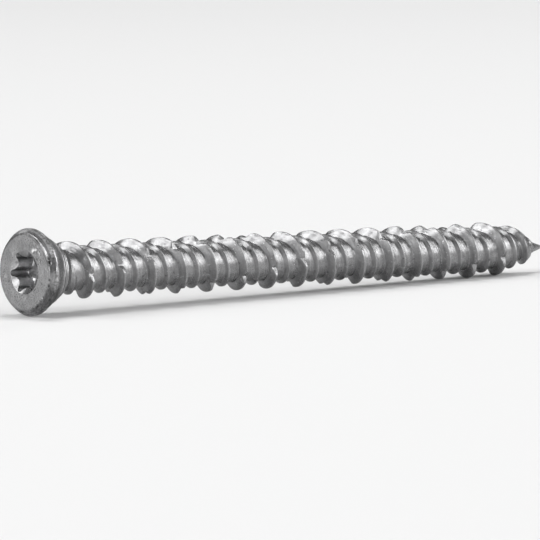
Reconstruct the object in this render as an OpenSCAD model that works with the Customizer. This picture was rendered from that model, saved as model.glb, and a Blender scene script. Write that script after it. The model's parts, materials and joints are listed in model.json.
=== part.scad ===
// Concrete screw for frames and brackets: a flat countersunk head with a six-lobe
// drive, a shank rolled with one high and one low thread, and a short point.
// The high thread is notched so that it cuts its own way into masonry.
// Sizes are in millimetres. The screw lies on its side, as it comes to rest:
// +X runs from the head to the point, +Z is up, and it touches z = 0 at the rim
// of the head and at the last full turn of the high thread.

/* [Head] */
// Largest diameter of the head
head_d = 11.5; // [10:0.1:13]
// Diameter of the flat top of the head
face_d = 10; // [8:0.1:10.5]
// Height of the crowned edge between the flat top and the largest diameter
rim_h = 0.95; // [0.5:0.05:1.4]
// Included angle of the cone under the head
cone_angle = 63; // [55:1:80]

/* [Drive] */
// Six-lobe drive, measured across the tips of the lobes
drive_a = 5.6; // [4.4:0.05:6.2]
// Six-lobe drive, measured across the ridges between the lobes
drive_b = 3.95; // [3.2:0.05:4.4]
// Depth of the straight walls of the drive
drive_depth = 2.9; // [2:0.1:3.2]
// Diameter of the tapered mouth of the drive
mouth_d = 5.65; // [5:0.05:6.6]

/* [Shank and threads] */
// Length from the flat top of the head to the point
length = 92; // [60:1:150]
// Diameter over the high thread
thread_d = 7.5; // [7:0.1:8.4]
// Diameter over the low thread
low_d = 6.3; // [5.9:0.1:6.8]
// Diameter of the shank between the threads
core_d = 5.3; // [4.8:0.1:5.6]
// Advance of each thread in one turn
lead = 5.25; // [4.4:0.05:6.4]
// Width of the high thread where it meets the shank
high_foot = 1.35; // [1.1:0.05:1.8]
// Width of the low thread where it meets the shank
low_foot = 0.95; // [0.8:0.05:1.3]
// Width of the flat on the top of both threads
crest = 0.28; // [0.2:0.02:0.4]

/* [Cutting notches] */
// Depth of the notches in the high thread
notch_depth = 0.7; // [0.3:0.05:0.9]
// Angle along the thread from one notch to the next
notch_every = 114; // [90:1:130]

/* [Point] */
// Length over which the threads run down to the point
nose_len = 12; // [8:0.5:16]
// Length of the bare cone at the point
tip_len = 1.65; // [1:0.05:2.4]
// Diameter at the foot of the bare cone
tip_d = 1.44; // [1:0.04:2]
// Diameter of the blunt end of the point
end_d = 0.4; // [0.2:0.05:0.8]
// Length over which the shank narrows to the bare cone
taper_len = 5.9; // [4:0.1:8]

/* [Hidden] */
$fn = 96;

head_r = head_d / 2;
face_r = face_d / 2;
core_r = core_d / 2;
high_r = thread_d / 2;
low_r = low_d / 2;
tip_r = tip_d / 2;
end_r = end_d / 2;

// neck: the cone runs on to the shank, a little steeper at its end
neck1_r = core_r + 1.05;
neck2_r = core_r + 0.52;
neck3_r = core_r - 0.1;
neck1_s = rim_h + (head_r - neck1_r) / tan(cone_angle / 2);
neck2_s = neck1_s + 0.9;
neck3_s = neck2_s + 1.05;

// crowned edge: an arc from the flat top to the largest diameter
rim_w = head_r - face_r;
rim_chord = sqrt(rim_w * rim_w + rim_h * rim_h);
rim_sag = 0.06 * rim_chord;
rim_rad = (rim_chord * rim_chord / 4 + rim_sag * rim_sag) / (2 * rim_sag);
rim_cs = rim_h / 2 + (rim_rad - rim_sag) * rim_w / rim_chord;
rim_cr = face_r + rim_w / 2 - (rim_rad - rim_sag) * rim_h / rim_chord;

// drive: lobes and the ridges between them are arcs that just cross
lobe_r = 0.082 * drive_a;
lobe_c = drive_a / 2 - lobe_r;
ridge_r = 0.2134 * drive_a;
ridge_c = drive_b / 2 + ridge_r;
drive_tip = 0.35;
mouth_depth = 0.5;
drive_turn = 24;

// threads: one strip of eight points per turn, wound up the shank
steps = 32;
points = 8;
turn0 = 90;
root_s = neck2_s;
bury_s = root_s - 2;
cone_s = length - tip_len;
nose_s = length - nose_len;
nose_w = (cone_s - nose_s) / sqrt(1 - pow(tip_r / high_r, 2));
last = steps + round((cone_s - root_s) / lead * steps);
squeeze = 0.05;
fade_len = 3.2;
tip_bury = 0.3;
notch_first = steps + 16;
notch_steps = notch_every / 360 * steps;
notch_shift_at = 26.5;
notch_shift = 3;

// distances of the eight points from the middle of the high thread
along = [
    -high_foot / 2, -crest / 2, crest / 2, high_foot / 2,
    lead / 2 - low_foot / 2, lead / 2 - crest / 2, lead / 2 + crest / 2, lead / 2 + low_foot / 2
];

function clamp01(x) = min(1, max(0, x));

// outline over the high thread, rounded off towards the point
function over(s) =
    s < nose_s ? high_r
    : s < cone_s ? high_r * sqrt(max(0, 1 - pow((s - nose_s) / nose_w, 2)))
    : tip_r * (length - s) / tip_len;

// shank between the threads, which narrows a little faster close to the bare cone
function shank(s) =
    s < cone_s ? min(core_r, tip_r + (core_r - tip_r) * pow((cone_s - s) / taper_len, 0.85))
    : over(s);

// threads rise out of the neck and die away on the point
function grow(s) =
    clamp01((s - root_s + 0.4) / 1.6) * clamp01((cone_s - s) / fade_len);

function notch_at(i, from) =
    i == round(from + notch_steps * round((i - from) / notch_steps));
function notched(i) =
    i >= notch_first && i < last - 1.2 * steps &&
    notch_at(i, i < notch_first + notch_steps * notch_shift_at ? notch_first : notch_first + notch_shift);

function high_top(i, s) =
    (over(s) - shank(s)) * (notched(i) ? clamp01(1 - notch_depth / (high_r - core_r)) : 1);
function low_top(s) = min(low_r - core_r, 0.75 * (over(s) - shank(s)));
function rise(i, j, s) =
    j == 1 || j == 2 ? high_top(i, s) * grow(s)
    : j == 5 || j == 6 ? low_top(s) * grow(s)
    : 0;

// middle of the high thread at step i, one turn after the buried start
function middle(i) = root_s + high_foot / 2 + lead * (i - steps) / steps;
function foot(i) = middle(i) - high_foot / 2;

// the first turn is gathered inside the head and the last one on the bare cone
function buried(i, j) = bury_s + (root_s - bury_s) * i / steps + j * 0.1;
function ending(i) = foot(last) + 0.5 * (i - last) / steps;
function place(i, j) =
    i > last ? ending(i)
    : i < steps ? max(middle(i) + along[j], buried(i, j))
    : i > last - steps ? min(middle(i) + along[j], ending(i + steps) - (points - j) * squeeze)
    : middle(i) + along[j];

function at(i, j) =
    let (s = place(i, j), r = shank(s) + rise(i, j, s), a = turn0 + 360 * i / steps)
    [r * cos(a), r * sin(a), s];

function nr(i, j) =
    j == points ? nr(i + steps, 0)
    : i <= last ? i * points + j
    : (last + 1) * points + i - last - 1;

// where the screw touches the ground: the turn of thread that lets it tip least
touch_r = [for (k = [1 : 60]) let (s = middle(24 + steps * k) + crest / 2)
    if (s < cone_s - 2) over(s) * grow(s) + shank(s) * (1 - grow(s))];
touch_s = [for (k = [1 : 60]) let (s = middle(24 + steps * k) + crest / 2)
    if (s < cone_s - 2) s];
tilt = min([for (k = [0 : len(touch_s) - 1]) atan((head_r - touch_r[k]) / (touch_s[k] - rim_h))]);
rest_z = rim_h * sin(tilt) + head_r * cos(tilt);
mid_x = (length * cos(tilt) + (end_r - face_r) * sin(tilt)) / 2;

module head_section() {
    difference() {
        polygon([
            [0, 0], [head_r, 0], [head_r, rim_h], [neck1_r, neck1_s],
            [neck2_r, neck2_s], [neck3_r, neck3_s], [0, neck3_s]
        ]);
        difference() {
            translate([face_r, -1]) square([rim_w + 1, rim_h + 1]);
            translate([rim_cr, rim_cs]) circle(r = rim_rad);
        }
    }
}

module drive_outline() {
    difference() {
        circle(r = lobe_c);
        for (k = [0 : 5]) rotate(60 * k + 30) translate([ridge_c, 0]) circle(r = ridge_r);
    }
    for (k = [0 : 5]) rotate(60 * k) translate([lobe_c, 0]) circle(r = lobe_r);
}

module drive() {
    translate([0, 0, -1]) linear_extrude(height = drive_depth + 1) drive_outline();
    translate([0, 0, drive_depth - 0.05])
        cylinder(r1 = drive_b / 2 - 0.1, r2 = 0.2, h = drive_tip + 0.05);
    translate([0, 0, -0.2])
        cylinder(
            r1 = mouth_d / 2 + 0.2 * (mouth_d / 2 - drive_b / 2 + 0.1) / mouth_depth,
            r2 = drive_b / 2 - 0.1,
            h = mouth_depth + 0.2
        );
}

// bare cone with a blunt end, rooted in the end of the threaded shank
module tip() {
    slope = (tip_r - end_r) / tip_len;
    translate([0, 0, cone_s - tip_bury])
        cylinder(r1 = tip_r + slope * tip_bury, r2 = end_r, h = tip_len + tip_bury);
}

module threaded_shank() {
    grid = [for (i = [0 : last], j = [0 : points - 1]) at(i, j)];
    ends = [for (i = [last + 1 : last + steps]) at(i, 0)];
    base = len(grid) + len(ends);
    walls = [for (i = [0 : last - 1], j = [0 : points - 1], half = [0, 1])
        half == 0 ? [nr(i, j), nr(i, j + 1), nr(i + 1, j + 1)]
        : [nr(i, j), nr(i + 1, j + 1), nr(i + 1, j)]];
    start = [for (i = [0 : steps - 1]) [base, nr(i, 0), nr(i + 1, 0)]];
    start_seam = [for (j = [0 : points - 1]) [base, nr(0, j + 1), nr(0, j)]];
    point = [for (i = [last : last + steps - 1]) [base + 1, nr(i + 1, 0), nr(i, 0)]];
    point_seam = [for (j = [0 : points - 1]) [base + 1, nr(last, j), nr(last, j + 1)]];
    polyhedron(
        points = concat(grid, ends, [[0, 0, bury_s + 0.2], [0, 0, length]]),
        faces = concat(walls, start, start_seam, point, point_seam),
        convexity = 10
    );
}

module screw() {
    color([0.56, 0.56, 0.57])
        translate([-mid_x, 0, rest_z])
            rotate([0, 90 + tilt, 0])
                union() {
                    difference() {
                        rotate_extrude() head_section();
                        rotate(drive_turn) drive();
                    }
                    threaded_shank();
                    tip();
                }
}

screw();
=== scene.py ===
import json
import math

import bmesh
import bpy
from mathutils import Matrix, Vector, noise


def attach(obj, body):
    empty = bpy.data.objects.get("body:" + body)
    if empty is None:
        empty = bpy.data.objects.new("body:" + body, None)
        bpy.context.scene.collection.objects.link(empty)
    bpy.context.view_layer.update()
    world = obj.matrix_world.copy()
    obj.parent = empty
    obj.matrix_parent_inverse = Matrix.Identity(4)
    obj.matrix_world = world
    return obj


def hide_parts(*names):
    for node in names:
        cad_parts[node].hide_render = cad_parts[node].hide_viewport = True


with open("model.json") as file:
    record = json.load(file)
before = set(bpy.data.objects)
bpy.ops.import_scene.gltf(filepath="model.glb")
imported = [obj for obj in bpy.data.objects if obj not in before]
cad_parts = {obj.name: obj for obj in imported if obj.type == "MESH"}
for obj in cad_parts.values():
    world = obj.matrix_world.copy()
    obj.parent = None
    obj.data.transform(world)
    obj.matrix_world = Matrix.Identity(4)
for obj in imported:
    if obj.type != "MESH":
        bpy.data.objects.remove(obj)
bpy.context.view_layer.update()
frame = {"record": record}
drive = next(m for m in frame["record"]["mounts"] if m["name"] == "drive")
print("frame loaded")

mm = 0.001


# small helpers

def softMax(a, b, blend):
    return 0.5 * (a + b + math.hypot(a - b, blend))


def softMin(a, b, blend):
    return 0.5 * (a + b - math.hypot(a - b, blend))


def clamp01(x):
    return min(1.0, max(0.0, x))


def smooth01(x):
    x = clamp01(x)
    return x * x * (3 - 2 * x)


def window(x, start, end, startSoft, endSoft):  # 1 between two values, with soft ends
    return smooth01((x - start) / startSoft) * smooth01((end - x) / endSoft)


def openEdges(bm, low, high):  # open edges whose ends lie between two heights
    return [e for e in bm.edges if e.is_boundary and all(low < v.co.z < high for v in e.verts)]


def onlyVerts(geom):
    return [item for item in geom if isinstance(item, bmesh.types.BMVert)]


def linked(verts):  # vertices with their edges and faces
    edges = dict.fromkeys(e for v in verts for e in v.link_edges)
    faces = dict.fromkeys(f for v in verts for f in v.link_faces)
    return verts + list(edges) + list(faces)


def addProfile(bm, stations):  # a line of vertices in the XZ plane, given as (radius, height)
    verts = [bm.verts.new((r, 0, s)) for r, s in stations]
    edges = [bm.edges.new(pair) for pair in zip(verts, verts[1:])]
    return verts + edges


def roundCorner(before, corner, after, radius, count):  # arc that meets both sides of a corner
    corner = Vector(corner)
    a = (Vector(before) - corner).normalized()
    b = (Vector(after) - corner).normalized()
    half = a.angle(b) / 2
    centre = corner + (a + b).normalized() * (radius / math.sin(half))
    first = (corner + a * (radius / math.tan(half)) - centre).normalized()
    last = (corner + b * (radius / math.tan(half)) - centre).normalized()
    return [tuple(centre + first.slerp(last, k / (count - 1)) * radius) for k in range(count)]


def between(a, b, count):  # points from a up to, but without, b
    return [(a[0] + (b[0] - a[0]) * k / count, a[1] + (b[1] - a[1]) * k / count) for k in range(count)]


# the screw is modelled upright in millimetres: z runs from the top of the head to the point

headSizes = {
    "outerR": 5.75,
    "faceR": 5.0,
    "rimH": 0.95,
    "coneHalfDeg": 31.5,
    "cutAt": 4.7,       # the head ends and the shank begins here
    "columns": 272,
    "faceEdgeRound": 0.55,
    "rimEdgeRound": 0.4,
    "wallRows": 7,
    "faceRows": 14,
    "faceEdgeRows": 7,
    "bandRows": 7,
    "rimEdgeRows": 11,
    "coneRows": 9,
    "coneRowsKept": 3,  # the rings of the neck bring their own rows
}

wornEdge = {
    "rangeDeg": (284, 350, 10, 12),  # worn and dark here: start, end, softness of both
    "reach": 0.36,
    "jag": 0.55,           # mean of the uneven reach, then its coarse and fine waves
    "jagCoarse": 0.6,
    "jagFine": 0.3,
    "soft": 0.09,
    "depth": 0.13,
    "endAt": 5.25,         # the wear dies away on the rim
    "endSoft": 0.5,
    "lean": 0.5,           # on the rim it also goes inwards
    "leanLess": 0.4,
    "tint": 0.5,
    "chipEdge": 1.6,       # how sharply the tint of a chip begins
    "chips": (  # angle, distance from the axis along the surface, half width, half height, depth, tint
        (250.5, 5.3, 0.42, 0.24, 0.12, 0.3),
        (277, 5.15, 0.22, 0.14, 0.08, 0.35),
        (286, 5.12, 0.3, 0.15, 0.1, 0.3),
        (329, 5.0, 0.3, 0.2, 0.1, 0.4),
        (8, 5.3, 0.5, 0.25, 0.14, 0.2),
        (17, 5.2, 0.25, 0.16, 0.08, 0.3),
        (211, 3.42, 0.36, 0.28, 0.1, 3.0),
        (217, 3.78, 0.3, 0.26, 0.1, 2.8),
        (218, 4.46, 0.3, 0.1, 0.06, 1.4),
        (228, 4.05, 0.4, 0.09, 0.06, 1.3),
        (241.5, 3.64, 0.16, 0.12, 0.07, 0.6),
        (262, 4.8, 0.25, 0.1, 0.05, 0.8),
    ),
}

# mottle of the coat, with painted light and shade on the rim and the cone
rimCoatAndPaintedLight = {  # ranges are start, end, softness of both
    "coarse": 0.5,         # mottle, with its change over a length and over an angle
    "coarseGrain": (3.1, 0.12),
    "fine": 0.55,
    "fineGrain": (5.5, 0.45),
    "upperPaintedLight": 0.4,      # painted light: lighter on the upper side
    "upperTurn": 0.3,
    "topPaintedShade": 0.5,       # painted shade: the rim is darker at the top, which dims its highlight
    "topDeg": (180, 240, 15, 20),
    "topHeight": (0.6, 1.5, 0.1, 0.3),
    "sidePaintedShade": 0.28,     # painted shade at one side of the rim
    "sideDeg": (246, 330, 10, 20),
    "sideFrom": 5.1,
    "sideTo": 1.2,
    # painted shade: the cone under the head is darker
    "conePaintedShade": 0.42,
    "coneFrom": 1.1,
    "coneTo": 3.15,
    "streakDeg": (180, 262, 20, 12),  # painted shade in streaks along the lit edge of the face, breaking up its highlight
    "streakAt": 4.95,
    "streakHalf": 0.5,
    "streakGrain": (9, 0.06),
    "streakPaintedShade": 0.45,
}

mattCoat = {  # ranges are start, end, softness of both
    "height": (0.4, 3.3, 0.2, 0.3),   # duller from the rim down to the rings of the neck
    "shineDeg": (240, 270, 8, 8),     # the edge of the rim is rubbed bright over this range
    "shineEnd": 1.15,
}

driveSizes = {
    "lobeTipR": 2.8,
    "lobeR": 0.46,
    "ridgeTipR": 1.975,
    "ridgeR": 1.195,
    "depth": 2.9,
    "floorDrop": 0.3,
    "floorHubR": 0.02,
    "floorRows": ((0.5, 0.5), (0.8, 0.2)),  # shares of the radius and of the drop
    "floorCorner": (0.94, 0.04),
    "edgeLoop": 0.05,
    "lobeHalfDeg": 10.8,  # the lobes meet the ridges here
    "mouthR": 2.825,
    "mouthDepth": 0.5,  # where the tapered mouth would reach the ridges
    "turnDeg": 24,
    "wallPaintedLight": 1.9,    # painted light: the walls inside are lifted against their own shade, least so half way from ridge to lobe
    "wallLeast": 0.4,
    "wallMidR": 2.45,
    "wallHalfSpan": 0.475,
    "wallCurve": 1.5,
    # painted light on the floor of the drive, stronger on one side, lifting it out of its shadow
    "floorSidePaintedLight": 0.5,
    "floorPaintedLight": 2.2,
    "facetPaintedLight": (1.4, 0.95, 1.6, 0.6, 1.2, 1.9),  # painted light and shade on each facet of the mouth, from the lowest ridge on
}

shankSizes = {
    "length": 92.0,
    "highR": 3.75,
    "lowR": 3.15,
    "coreR": 2.65,
    "lead": 5.25,
    "crestAtZero": -0.70,  # height of the high thread's crest at angle 0
    "highFoot": 1.35,
    "lowFoot": 0.95,
    "highSlope": 2.08,  # rise of the flanks over their width
    "lowSlope": 1.45,
    "footBlend": 0.06,
    "crestBlend": 0.035,
    "coreBlend": 0.1,
    "neckBlend": 0.16,
    "lowShare": 0.75,   # the low thread stays below this share of the high one
    "sharpDeg": 24,     # edges with a larger angle stay sharp
    "cutAt": 4.8,
    "startAt": 0.9,     # the winding begins well inside the head
    "endAt": 91.85,
    "columns": 96,
    "growFrom": 4.8,    # the threads rise out of the neck between these heights
    "growTo": 6.4,
    "lowFrom": 5.8,     # the low thread starts later
    "lowTo": 7.1,
}

pointSizes = {
    "noseLen": 12.0,
    "tipLen": 1.65,
    "tipR": 0.72,
    "endR": 0.26,       # the very end is blunt
    "capH": 0.08,
    "taperLen": 5.9,
    "taperCurve": 0.85,
    "fadeLen": 3.2,     # the threads run out towards the tip over this length
    "fadePast": 0.15,
    "fadeCurve": 0.6,
    "lastFrom": 6,      # the last turn is rolled broader and a little further on
    "lastOver": 3,
    "lastShift": 0.4,
    "lastBroader": 0.8,
}

neckSizes = {
    "beads": (3.3, 3.92, 4.38),  # rings left by the tool
    "beadH": 0.09,
    "beadW": 0.2,
    "beadRows": (-0.2, -0.12, -0.04, 0.04, 0.12),
    "lastRow": 4.58,
    "steepFrom": 4.5,            # the cone ends more steeply
    "steepSlope": 0.82,
}

notchSizes = {
    "firstDeg": 636,
    "everyDeg": 114,
    "shiftAfter": 26,        # from here on they are spaced unevenly in threes
    "shiftDeg": (20, 10, 35),
    "lastDeg": 5860,
    "depth": 0.68,
    "depthVary": 0.2,
    "halfWidth": 1.0,
    "widthVary": 0.25,
    "reachDeg": 60,
    "none": 9.0,             # height where there is no notch
    "feltBelow": 0.3,
    "blend": 0.03,
}


def wallOfDrive(turn):  # distance of the drive's wall from the axis
    d = driveSizes
    sixth = math.radians(60)
    off = abs((turn - math.radians(d["turnDeg"]) + sixth / 2) % sixth - sixth / 2)
    lobeC = d["lobeTipR"] - d["lobeR"]
    inLobe = d["lobeR"] ** 2 - (lobeC * math.sin(off)) ** 2
    if off < math.radians(d["lobeHalfDeg"]):
        return lobeC * math.cos(off) + math.sqrt(inLobe)
    ridgeC = d["ridgeTipR"] + d["ridgeR"]
    off = sixth / 2 - off
    inRidge = d["ridgeR"] ** 2 - (ridgeC * math.sin(off)) ** 2
    return min(lobeC, ridgeC * math.cos(off) - math.sqrt(max(0, inRidge)))


def mouthDepthAt(r):
    d = driveSizes
    return d["mouthDepth"] * (d["mouthR"] - r) / (d["mouthR"] - d["ridgeTipR"])


def headProfile():
    h = headSizes
    d = driveSizes
    n = neckSizes
    wall = d["lobeTipR"]
    top = mouthDepthAt(wall)
    low = d["depth"]
    loop = d["edgeLoop"]
    floor = [(d["floorHubR"], low + d["floorDrop"])]
    floor += [(wall * part, low + d["floorDrop"] * drop) for part, drop in d["floorRows"]]
    floor += [(wall * d["floorCorner"][0], low + d["floorCorner"][1])]
    walls = between((wall, low - loop), (wall, top + loop), h["wallRows"])
    walls += [(wall, top + loop), (wall, top)]
    faceEdge = (h["faceR"], 0)
    ring = (h["outerR"], h["rimH"])
    fall = math.tan(math.radians(h["coneHalfDeg"]))
    coneEnd = (h["outerR"] - (h["cutAt"] - h["rimH"]) * fall, h["cutAt"])
    edge = roundCorner((0, 0), faceEdge, ring, h["faceEdgeRound"], h["faceEdgeRows"])
    rim = roundCorner(faceEdge, ring, coneEnd, h["rimEdgeRound"], h["rimEdgeRows"])
    face = between((d["mouthR"], 0), edge[0], h["faceRows"])
    band = between(edge[-1], rim[0], h["bandRows"])[1:]
    cone = between(rim[-1], coneEnd, h["coneRows"])[1:h["coneRowsKept"] + 1]
    heights = [at + off for at in n["beads"] for off in n["beadRows"]]
    heights += [n["lastRow"], h["cutAt"]]
    cone += [(neckAt(s), s) for s in heights]
    return floor + walls + face + edge + band + rim + cone


def shapeDrive(v):  # the round socket of the profile becomes six-lobed
    d = driveSizes
    r = math.hypot(v.co.x, v.co.y)
    if r > d["lobeTipR"] + 0.01 or v.co.z > d["depth"] + d["floorDrop"] + 0.1:
        return
    turn = math.atan2(v.co.y, v.co.x)
    wall = wallOfDrive(turn)
    part = r / d["lobeTipR"]
    newR = wall * part
    s = v.co.z
    if part > 0.99:
        top = mouthDepthAt(d["lobeTipR"])
        bottom = d["depth"]
        s = mouthDepthAt(newR) + (s - top) / (bottom - top) * (bottom - mouthDepthAt(newR))
    v.co = (newR * math.cos(turn), newR * math.sin(turn), s)


def pathAt(r, s):  # distance from the axis along the surface of the head
    faceR = headSizes["faceR"]
    if s < 0.01 and r < faceR - 0.3:
        return r
    return faceR + math.copysign(math.hypot(r - faceR, s), r - faceR + 0.5 * s)


def rimTintAndPaintedLight(r, s, turn):  # how light the coat is outside the drive, without the wear: random mottle with painted light and shade
    c = rimCoatAndPaintedLight
    angle = math.degrees(turn) % 360
    path = pathAt(r, s)
    mottle = 0.0
    for share, (grain, turning) in ((c["coarse"], c["coarseGrain"]), (c["fine"], c["fineGrain"])):
        mottle += share * noise.noise((r * grain, s * grain, angle * turning))
    past = smooth01((path - headSizes["faceR"] + 0.1) / 0.2)
    # painted light on the upper side of the rim
    tint = 1 + (mottle + c["upperPaintedLight"] * max(0, -math.cos(turn - c["upperTurn"]))) * past
    # painted shade at the top of the rim
    tint *= 1 - c["topPaintedShade"] * window(angle, *c["topDeg"]) * window(s, *c["topHeight"])
    # painted shade at one side of the rim
    side = window(angle, *c["sideDeg"]) * smooth01((path - c["sideFrom"]) / 0.1)
    tint *= 1 - c["sidePaintedShade"] * side * smooth01((c["sideTo"] - s) / 0.2)
    # painted shade on the cone under the head
    tint *= 1 - c["conePaintedShade"] * smooth01((s - c["coneFrom"]) / 0.25)
    # painted shade in streaks along the lit edge of the face
    streaks = window(angle, *c["streakDeg"]) * max(0, 1 - ((path - c["streakAt"]) / c["streakHalf"]) ** 2)
    grain, turning = c["streakGrain"]
    return tint * (1 + streaks * (noise.noise((path * grain, angle * turning, 5.1)) - c["streakPaintedShade"]))


def wearAt(r, s, turn):  # depth of the wear on the head and the tint of its coat, which also holds the painted light and shade of the rim
    e = wornEdge
    angle = math.degrees(turn) % 360
    path = pathAt(r, s)
    tint = rimTintAndPaintedLight(r, s, turn)
    worn = window(angle, *e["rangeDeg"])
    jag = e["jag"] + e["jagCoarse"] * noise.noise((angle * 0.33, 1.7, 0.2))
    jag += e["jagFine"] * noise.noise((angle * 0.9, 7.7, 0.4))
    edge = headSizes["faceR"] - worn * e["reach"] * jag
    past = smooth01((path - edge) / e["soft"]) * worn
    depth = e["depth"] * past * (1 - smooth01((path - e["endAt"]) / e["endSoft"]))
    tint *= 1 + (e["tint"] - 1) * past
    for at, middle, wide, high, deep, chipTint in e["chips"]:
        off = math.radians((angle - at + 180) % 360 - 180) * r
        inside = 1 - (off / wide) ** 2 - ((path - middle) / high) ** 2
        if inside > 0:
            depth += deep * inside
            tint *= 1 + (chipTint - 1) * min(1, e["chipEdge"] * inside)
    return depth, tint


def wearHead(v):
    r = math.hypot(v.co.x, v.co.y)
    if r < driveSizes["mouthR"] + 0.1 or v.co.z > headSizes["rimH"] + 0.2:
        return
    turn = math.atan2(v.co.y, v.co.x)
    depth = wearAt(r, v.co.z, turn)[0]
    lean = smooth01((r - headSizes["faceR"] + 0.2) / 0.4) * wornEdge["lean"]
    r -= depth * lean
    sink = depth * (1 - wornEdge["leanLess"] * lean)
    v.co = (r * math.cos(turn), r * math.sin(turn), v.co.z + sink)


def tintAndPaintedLightAt(v):  # how light the coat is, relative to the shank, with painted light and shade in the drive, on the rim and on the cone
    d = driveSizes
    r = math.hypot(v.co.x, v.co.y)
    turn = math.atan2(v.co.y, v.co.x)
    if v.co.z < d["depth"] + d["floorDrop"] + 0.05 and r < d["mouthR"] - 0.005:
        deep = smooth01((v.co.z - mouthDepthAt(r)) / 0.05)
        # painted light and shade: one level for each facet of the mouth
        facet = d["facetPaintedLight"][round((math.degrees(turn) - d["turnDeg"] + 30) / 60) % 6]
        # painted light on the walls of the drive, in bands
        outer = (abs(r - d["wallMidR"]) / d["wallHalfSpan"]) ** d["wallCurve"]
        wall = d["wallPaintedLight"] * (d["wallLeast"] + (1 - d["wallLeast"]) * outer)
        # painted light: the floor of the drive is lightened, more on one side
        if v.co.z > d["depth"] - 0.1:
            wall = d["floorPaintedLight"] * (1 + d["floorSidePaintedLight"] * max(0, -math.sin(turn)) * r / d["lobeTipR"])
        return facet + (wall - facet) * deep
    if v.co.z < 2.2 and r > d["mouthR"] - 0.005:
        return wearAt(r, v.co.z, turn)[1]
    # painted shade on the cone under the head
    return 1 - rimCoatAndPaintedLight["conePaintedShade"] * smooth01((rimCoatAndPaintedLight["coneTo"] - v.co.z) / 0.4)


def mattAt(v):  # 1 where the coat is dull
    m = mattCoat
    if math.hypot(v.co.x, v.co.y) < driveSizes["mouthR"]:
        return 0.0
    angle = math.degrees(math.atan2(v.co.y, v.co.x)) % 360
    shine = window(angle, *m["shineDeg"]) * smooth01((m["shineEnd"] - v.co.z) / 0.1)
    return (1 - shine) * window(v.co.z, *m["height"])


def addHead(bm):
    h = headSizes
    old = set(bm.verts)
    profile = addProfile(bm, headProfile())
    bmesh.ops.rotate(bm, verts=onlyVerts(profile), cent=(0, 0, 0),
                     matrix=Matrix.Rotation(math.radians(driveSizes["turnDeg"]), 3, "Z"))
    bmesh.ops.spin(bm, geom=profile, cent=(0, 0, 0), axis=(0, 0, 1), angle=math.tau,
                   steps=h["columns"], use_merge=True)
    for v in bm.verts:
        if v not in old:
            shapeDrive(v)
            # the tint holds wear and mottle, and painted light and shade on the head
            v[bm.verts.layers.float["tint"]] = tintAndPaintedLightAt(v)
            v[bm.verts.layers.float["matt"]] = mattAt(v)
            wearHead(v)
    hub = openEdges(bm, driveSizes["depth"], h["cutAt"] - 0.2)
    bmesh.ops.edgeloop_fill(bm, edges=hub)
    print("head spun")


# threads

highStations = [0.08, 0.12, 0.155, 0.19, 0.28, 0.4, 0.52, 0.61, 0.66, 0.72, 0.85, 1.1, 1.4]
lowStations = [0.08, 0.12, 0.16, 0.24, 0.34, 0.43, 0.49, 0.56, 0.72]


def threadStations():  # heights over one lead, from one low crest to the next
    half = shankSizes["lead"] / 2
    upper = [0.0] + highStations + [half - w for w in reversed(lowStations)] + [half]
    return [-w for w in reversed(upper[1:])] + upper


def outlineAt(s):  # over the high thread
    k = shankSizes
    p = pointSizes
    coneAt = k["length"] - p["tipLen"]
    noseAt = k["length"] - p["noseLen"]
    if s < noseAt:
        return k["highR"]
    if s < coneAt:
        reach = (coneAt - noseAt) / math.sqrt(1 - (p["tipR"] / k["highR"]) ** 2)
        return k["highR"] * math.sqrt(max(0, 1 - ((s - noseAt) / reach) ** 2))
    return p["endR"] + (p["tipR"] - p["endR"]) * (k["length"] - s) / p["tipLen"]


def coreAt(s):  # the shank between the threads narrows down to the bare tip
    k = shankSizes
    p = pointSizes
    left = k["length"] - p["tipLen"] - s
    if left < 0:
        return outlineAt(s)
    taper = p["tipR"] + (k["coreR"] - p["tipR"]) * (left / p["taperLen"]) ** p["taperCurve"]
    return softMin(k["coreR"], taper, k["coreBlend"])


def neckAt(s):  # the cone under the head runs on until it meets the shank
    n = neckSizes
    fall = math.tan(math.radians(headSizes["coneHalfDeg"]))
    r = headSizes["outerR"] - (s - headSizes["rimH"]) * fall
    r -= max(0, s - n["steepFrom"]) * (n["steepSlope"] - fall)
    for at in n["beads"]:
        r += n["beadH"] * max(0, 1 - ((s - at) / n["beadW"]) ** 2) ** 2
    return r


def ridge(w, height, foot, slope):  # cross-section of a thread, w from its middle
    flank = slope * (foot / 2 - abs(w))
    return softMin(height, softMax(0, flank, shankSizes["footBlend"]), shankSizes["crestBlend"])


def notchAt(along):  # height left by the nearest notch, along is the angle wound so far
    n = notchSizes
    if along < n["firstDeg"] - n["reachDeg"] or along > n["lastDeg"]:
        return n["none"]
    number = round((along - n["firstDeg"]) / n["everyDeg"])
    if number < 0:
        return n["none"]
    middle = n["firstDeg"] + number * n["everyDeg"]
    if number > n["shiftAfter"]:
        middle += n["shiftDeg"][number % 3]
    vary = noise.noise((number * 1.7, 3.3, 0.5))
    off = math.radians(abs(along - middle)) * shankSizes["highR"]
    wide = n["halfWidth"] * (1 + n["widthVary"] * vary)
    return n["depth"] * (off / wide - 1) * (1 + n["depthVary"] * vary)


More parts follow.
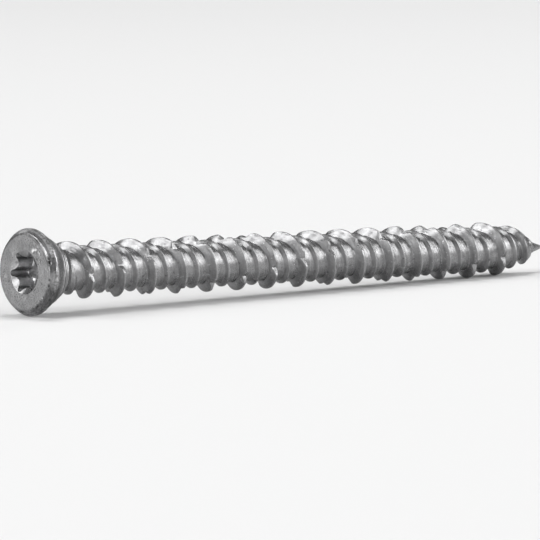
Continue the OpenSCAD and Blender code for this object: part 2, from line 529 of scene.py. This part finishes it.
def shankRadius(s, turn):
    k = shankSizes
    p = pointSizes
    lead = k["lead"]
    wound = k["crestAtZero"] + lead * turn / math.tau
    w = (s - wound + lead / 2) % lead - lead / 2
    along = (s - w - k["crestAtZero"]) / lead * 360
    core = coreAt(s)
    over = outlineAt(s) - core
    grow = smooth01((s - k["growFrom"]) / (k["growTo"] - k["growFrom"]))
    grow *= clamp01((k["length"] - p["tipLen"] + p["fadePast"] - s) / p["fadeLen"]) ** p["fadeCurve"]
    end = smooth01((s - k["length"] + p["lastFrom"]) / p["lastOver"])
    foot = k["highFoot"] * (1 + p["lastBroader"] * end)
    high = ridge(w - p["lastShift"] * end, over, foot, k["highSlope"])
    cut = notchAt(along)
    if cut < notchSizes["feltBelow"]:
        high = max(0, softMin(high, over + cut, notchSizes["blend"]))
    lowTop = min(k["lowR"] - k["coreR"], k["lowShare"] * over)
    low = ridge(lead / 2 - abs(w), lowTop, k["lowFoot"], k["lowSlope"])
    low *= smooth01((s - k["lowFrom"]) / (k["lowTo"] - k["lowFrom"]))
    body = core + max(high, low) * grow
    return softMax(body, neckAt(s), k["neckBlend"])


def addShank(bm):
    k = shankSizes
    lead = k["lead"]
    old = set(bm.verts)
    profile = addProfile(bm, [(1, k["startAt"] + w) for w in threadStations()])
    startTurn = (k["startAt"] - k["crestAtZero"]) / lead * math.tau
    bmesh.ops.rotate(bm, verts=onlyVerts(profile), cent=(0, 0, 0),
                     matrix=Matrix.Rotation(startTurn, 3, "Z"))
    bmesh.ops.spin(bm, geom=profile, cent=(0, 0, 0), axis=(0, 0, 1), dvec=(0, 0, lead / k["columns"]),
                   angle=math.tau, steps=k["columns"])
    firstTurn = linked([v for v in bm.verts if v not in old])
    for number in range(1, math.ceil((k["endAt"] - k["startAt"]) / lead + 0.6)):
        copied = bmesh.ops.duplicate(bm, geom=firstTurn)["geom"]
        bmesh.ops.translate(bm, verts=onlyVerts(copied), vec=(0, 0, lead * number))
    new = [v for v in bm.verts if v not in old]
    bmesh.ops.remove_doubles(bm, verts=new, dist=0.004)
    for height, up in ((k["cutAt"], -1), (k["endAt"], 1)):
        new = [v for v in bm.verts if v not in old]
        bmesh.ops.bisect_plane(bm, geom=linked(new), dist=0.001, plane_co=(0, 0, height),
                               plane_no=(0, 0, up), clear_outer=True)
    low = k["cutAt"] - 0.05  # the head lies below this height
    for v in bm.verts:
        if v.co.z < low:
            continue
        v[bm.verts.layers.float["tint"]] = 1.0
        turn = math.atan2(v.co.y, v.co.x)
        r = shankRadius(v.co.z, turn)
        v.co = (r * math.cos(turn), r * math.sin(turn), v.co.z)
    tip = openEdges(bm, k["endAt"] - 0.1, k["endAt"] + 0.1)
    cap = bmesh.ops.edgeloop_fill(bm, edges=tip)["faces"]
    bmesh.ops.poke(bm, faces=cap, offset=pointSizes["capH"])
    print("shank wound")


def makeScrew():
    bm = bmesh.new()
    bm.verts.layers.float.new("tint")
    bm.verts.layers.float.new("matt")
    addHead(bm)
    addShank(bm)
    seam = openEdges(bm, headSizes["cutAt"] - 0.05, shankSizes["cutAt"] + 0.05)
    bmesh.ops.bridge_loops(bm, edges=seam)
    bmesh.ops.recalc_face_normals(bm, faces=bm.faces[:])
    along = -Vector(drive["axis"])
    across = Vector((0, 1, 0))
    down = across.cross(along)
    place = Matrix((down, across, along)).transposed().to_4x4()
    place.translation = Vector(drive["pos_m"])
    bmesh.ops.transform(bm, matrix=place @ Matrix.Scale(mm, 4), verts=bm.verts[:])
    for f in bm.faces:
        f.smooth = True
    mesh = bpy.data.meshes.new("zincScrew")
    bm.to_mesh(mesh)
    loose = sum(1 for e in bm.edges if not e.is_manifold)
    triangles = sum(len(f.verts) - 2 for f in bm.faces)
    print("screw mesh: triangles", triangles, "open edges", loose, "volume mm3", bm.calc_volume() / mm ** 3)
    bm.free()
    mesh.set_sharp_from_angle(angle=math.radians(shankSizes["sharpDeg"]))
    piece = bpy.data.objects.new("zincScrew", mesh)
    bpy.context.scene.collection.objects.link(piece)
    return piece


# finishes

class Signal:  # a shader value that can be used in sums
    def __init__(self, tree, socket):
        self.tree = tree
        self.socket = socket

    def mixed(self, operation, first, second):
        node = self.tree.nodes.new("ShaderNodeMath")
        node.operation = operation
        for slot, item in zip(node.inputs, (first, second)):
            if isinstance(item, Signal):
                self.tree.links.new(item.socket, slot)
            else:
                slot.default_value = item
        return Signal(self.tree, node.outputs[0])

    def __add__(self, other):
        return self.mixed("ADD", self, other)

    def __radd__(self, other):
        return self.mixed("ADD", other, self)

    def __sub__(self, other):
        return self.mixed("SUBTRACT", self, other)

    def __rsub__(self, other):
        return self.mixed("SUBTRACT", other, self)

    def __mul__(self, other):
        return self.mixed("MULTIPLY", self, other)

    def __rmul__(self, other):
        return self.mixed("MULTIPLY", other, self)

    def __truediv__(self, other):
        return self.mixed("DIVIDE", self, other)

    def __rtruediv__(self, other):
        return self.mixed("DIVIDE", other, self)


class Finish:  # a material and the one way to add nodes to it
    def __init__(self, name):
        self.material = bpy.data.materials.new(name)
        self.material.use_nodes = True
        self.tree = self.material.node_tree
        self.tree.nodes.clear()

    def node(self, kind, settings=None, **sockets):
        made = self.tree.nodes.new("ShaderNode" + kind)
        for name, value in (settings or {}).items():
            if name == "stops":
                self.setStops(made.color_ramp, value)
            else:
                setattr(made, name, value)
        for name, value in sockets.items():
            slot = made.inputs[int(name[1:])] if name[1:].isdigit() else made.inputs[name.replace("_", " ")]
            if isinstance(value, Signal):
                self.tree.links.new(value.socket, slot)
            elif isinstance(value, bpy.types.NodeSocket):
                self.tree.links.new(value, slot)
            else:
                slot.default_value = value
        return made

    def setStops(self, ramp, stops):
        while len(ramp.elements) < len(stops):
            ramp.elements.new(0.5)
        for element, (place, grey) in zip(ramp.elements, stops):
            element.position = place
            element.color = (grey, grey, grey, 1)

    def value(self, socket):
        return Signal(self.tree, socket)

    def maths(self, operation, *items):
        sockets = {"_%d" % number: item for number, item in enumerate(items)}
        return self.value(self.node("Math", {"operation": operation}, **sockets).outputs[0])

    def noise(self, scale, detail=3, rough=0.5, coordinates=None):
        made = self.node("TexNoise", None, Scale=scale, Detail=detail, Roughness=rough, Vector=coordinates)
        return self.value(made.outputs["Fac"])

    def ramp(self, signal, *stops):
        made = self.node("ValToRGB", {"stops": stops}, Fac=signal)
        return self.value(made.outputs["Color"])


zincLook = {
    "dull": 0.185,
    "bright": 0.375,
    "lightest": 0.9,
    "blue": 1.012,
    "metal": 0.73,
    "edgeTint": (0.4, 0.4, 0.4, 1),
    "speckScale": 4200,
    "speckRange": ((0.38, 0), (0.62, 1)),
    "cloudScale": 700,
    "cloudRange": ((0.35, 0), (0.65, 1)),
    "pitScale": 1500,
    "pitRange": ((0.27, 0), (0.33, 0.5), (0.68, 0.5), (0.74, 1)),
    "pitLight": 1.45,      # between light grains and dark pits
    "pitDark": 0.9,
    "streaks": 4.5,        # fine lines across one lead of the thread
    "streakChange": 700,   # how soon they change along the screw
    "streakRange": ((0.35, 0), (0.65, 1)),
    "shankRange": ((0.4, 0), (0.6, 1)),  # where they begin, in centimetres from the top
    "speckShare": 0.3,
    "streakShare": 0.35,
    "cloudShare": 0.35,
    "roughFrom": 0.15,
    "roughSpeck": 0.09,
    "roughStreak": 0.1,
    "roughMatt": 0.22,
    "mattGrain": 0.7,
    "bumpSpeck": 0.08,
    "bumpCloud": 0.25,
    "bumpStreak": 0.6,
    "bumpDepth": 0.0001,
}


def streakPattern(f, place):  # lines that follow the thread, left by the rolling dies
    z = zincLook
    pos, axis = (Vector(drive[key]) for key in ("pos_m", "axis"))
    flat = f.node("VectorMath", {"operation": "SUBTRACT"}, _0=place, _1=pos).outputs[0]

    def reachTo(direction):
        made = f.node("VectorMath", {"operation": "DOT_PRODUCT"}, _0=flat, _1=direction)
        return f.value(made.outputs["Value"])

    across = Vector((0, 1, 0))
    along = reachTo(-axis)
    side = reachTo(across)
    below = reachTo(across.cross(-axis))
    reach = f.maths("SQRT", side * side + below * below)
    wound = (along - shankSizes["crestAtZero"] * mm) * (math.tau / (shankSizes["lead"] * mm))
    cosW = f.maths("COSINE", wound)
    sinW = f.maths("SINE", wound)
    first = (cosW * below + sinW * side) / reach
    second = (sinW * below - cosW * side) / reach
    where = f.node("CombineXYZ", None, _0=first * z["streaks"], _1=second * z["streaks"],
                   _2=along * z["streakChange"])
    streak = f.noise(1.0, 3, 0.6, where.outputs[0])
    onShank = f.ramp(along * 100, *z["shankRange"])
    return 0.5 + (streak - 0.5) * onShank


def zincFinish():
    z = zincLook
    f = Finish("zincCoat")
    place = f.node("TexCoord").outputs["Object"]
    speck = f.noise(z["speckScale"], 2, 0.6, place)
    cloud = f.noise(z["cloudScale"], 4, 0.55, place)
    streak = streakPattern(f, place)
    # the tint attribute holds wear and mottle, and the painted light and shade of the head
    tint = f.value(f.node("Attribute", {"attribute_name": "tint"}).outputs["Fac"])
    matt = f.value(f.node("Attribute", {"attribute_name": "matt"}).outputs["Fac"])
    grain = f.ramp(speck, *z["speckRange"])
    lines = f.ramp(streak, *z["streakRange"])
    patch = f.ramp(cloud, *z["cloudRange"])
    mottle = grain * z["speckShare"] + lines * z["streakShare"] + patch * z["cloudShare"]
    pit = f.ramp(f.noise(z["pitScale"], 1, 0.5, place), *z["pitRange"])
    grey = (z["dull"] + mottle * (z["bright"] - z["dull"])) * tint * (z["pitLight"] - z["pitDark"] * pit)
    grey = grey * (1 + matt * (grain - 0.5) * z["mattGrain"])
    grey = f.maths("MINIMUM", grey, z["lightest"])
    colour = f.node("CombineColor", None, _0=grey, _1=grey, _2=grey * z["blue"])
    rough = z["roughFrom"] + z["roughSpeck"] * speck + z["roughStreak"] * streak + z["roughMatt"] * matt
    height = speck * z["bumpSpeck"] + cloud * z["bumpCloud"] + streak * z["bumpStreak"]
    bump = f.node("Bump", None, Strength=1.0, Distance=z["bumpDepth"], Height=height)
    shader = f.node("BsdfPrincipled", None, Base_Color=colour.outputs[0], Roughness=rough,
                    Metallic=z["metal"], Specular_Tint=z["edgeTint"], Normal=bump.outputs[0])
    f.node("OutputMaterial", None, Surface=shader.outputs[0])
    return f.material


screw = makeScrew()
screw.data.materials.append(zincFinish())
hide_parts("screw")
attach(screw, "root")
print("screw finished")


# stage, lamps and camera

stageLook = {
    "size": 12.0,
    "colour": (0.8, 0.8, 0.8, 1),
    "world": 0.0,       # all the light comes from the lamps
}


def makeFloor():
    bm = bmesh.new()
    bmesh.ops.create_grid(bm, x_segments=1, y_segments=1, size=stageLook["size"] / 2)
    mesh = bpy.data.meshes.new("floor")
    bm.to_mesh(mesh)
    bm.free()
    floor = bpy.data.objects.new("floor", mesh)
    bpy.context.scene.collection.objects.link(floor)
    f = Finish("paleFloor")
    paint = f.node("BsdfDiffuse", None, Color=stageLook["colour"])
    f.node("OutputMaterial", None, Surface=paint.outputs[0])
    mesh.materials.append(f.material)


lamps = {  # azimuth 0 is towards the camera, positive to its right
    "lowLeft": {"azimuthDeg": -85, "elevationDeg": 8, "glow": 2.0},
    "lowFrontLeft": {"azimuthDeg": -35, "elevationDeg": 8, "glow": 2.0},
    "lowFrontRight": {"azimuthDeg": 35, "elevationDeg": 8, "glow": 10.0},
    "lowRight": {"azimuthDeg": 85, "elevationDeg": 8, "glow": 5.0},
    "midLeft": {"azimuthDeg": -60, "elevationDeg": 24, "glow": 6.0},
    "midRight": {"azimuthDeg": 85, "elevationDeg": 24, "glow": 6.6},
    "highLeft": {"azimuthDeg": -85, "elevationDeg": 40, "glow": 5.6},
    "highFrontLeft": {"azimuthDeg": -35, "elevationDeg": 40, "glow": 6.3},
    "highRight": {"azimuthDeg": 93, "elevationDeg": 40, "glow": 4.8},
    "backLeft": {"azimuthDeg": -150, "elevationDeg": 28, "glow": 1.6},
    "backRight": {"azimuthDeg": 155, "elevationDeg": 28, "glow": 3.8},
    "topBack": {"azimuthDeg": 180, "elevationDeg": 75, "glow": 10.0},
}

lampBox = {
    "range": 2.0,
    "width": 0.89,
    "height": 0.56,
}

cameraView = {
    "azimuthDeg": -131.477,
    "elevationDeg": 5.55,
    "range": 0.7540,
    "aim": (-0.00225, 0.00186, 0.00314),
    "focalPixels": 5651.6,
    "imagePixels": 540,
    "sensorMm": 36,
    "clip": (0.05, 50),
}


def viewAxes():  # right, up and towards the camera
    az = math.radians(cameraView["azimuthDeg"])
    el = math.radians(cameraView["elevationDeg"])
    back = Vector((math.cos(el) * math.cos(az), math.cos(el) * math.sin(az), math.sin(el)))
    right = Vector((0, 0, 1)).cross(back).normalized()
    return right, back.cross(right), back


def turnFor(right, up, back):
    return Matrix((right, up, back)).transposed().to_4x4()


def makeCamera():
    c = cameraView
    right, up, back = viewAxes()
    data = bpy.data.cameras.new("photoView")
    data.sensor_width = c["sensorMm"]
    data.lens = c["focalPixels"] / c["imagePixels"] * data.sensor_width
    data.clip_start, data.clip_end = c["clip"]
    camera = bpy.data.objects.new("photoView", data)
    spot = Matrix.Translation(Vector(c["aim"]) + back * c["range"])
    camera.matrix_world = spot @ turnFor(right, up, back)
    bpy.context.scene.collection.objects.link(camera)
    bpy.context.scene.camera = camera


def makeLamps():
    right, up, back = viewAxes()
    front = Vector((back.x, back.y, 0)).normalized()
    for name, lamp in lamps.items():
        az = math.radians(lamp["azimuthDeg"])
        el = math.radians(lamp["elevationDeg"])
        towards = (right * math.sin(az) + front * math.cos(az)) * math.cos(el)
        towards += Vector((0, 0, math.sin(el)))
        data = bpy.data.lights.new(name, "AREA")
        data.shape = "RECTANGLE"
        data.size = lampBox["width"]
        data.size_y = lampBox["height"]
        data.energy = lamp["glow"] * math.pi * data.size * data.size_y
        side = Vector((0, 0, 1)).cross(towards).normalized()
        made = bpy.data.objects.new(name, data)
        spot = Matrix.Translation(towards * lampBox["range"])
        made.matrix_world = spot @ turnFor(side, towards.cross(side), towards)
        bpy.context.scene.collection.objects.link(made)
    world = bpy.data.worlds.new("studio")
    world.use_nodes = True
    sky = world.node_tree.nodes["Background"]
    sky.inputs["Color"].default_value = (1, 1, 1, 1)
    sky.inputs["Strength"].default_value = stageLook["world"]
    bpy.context.scene.world = world


makeFloor()
makeCamera()
makeLamps()
bpy.context.scene.view_settings.view_transform = "Standard"
print("stage, lamps and camera set")
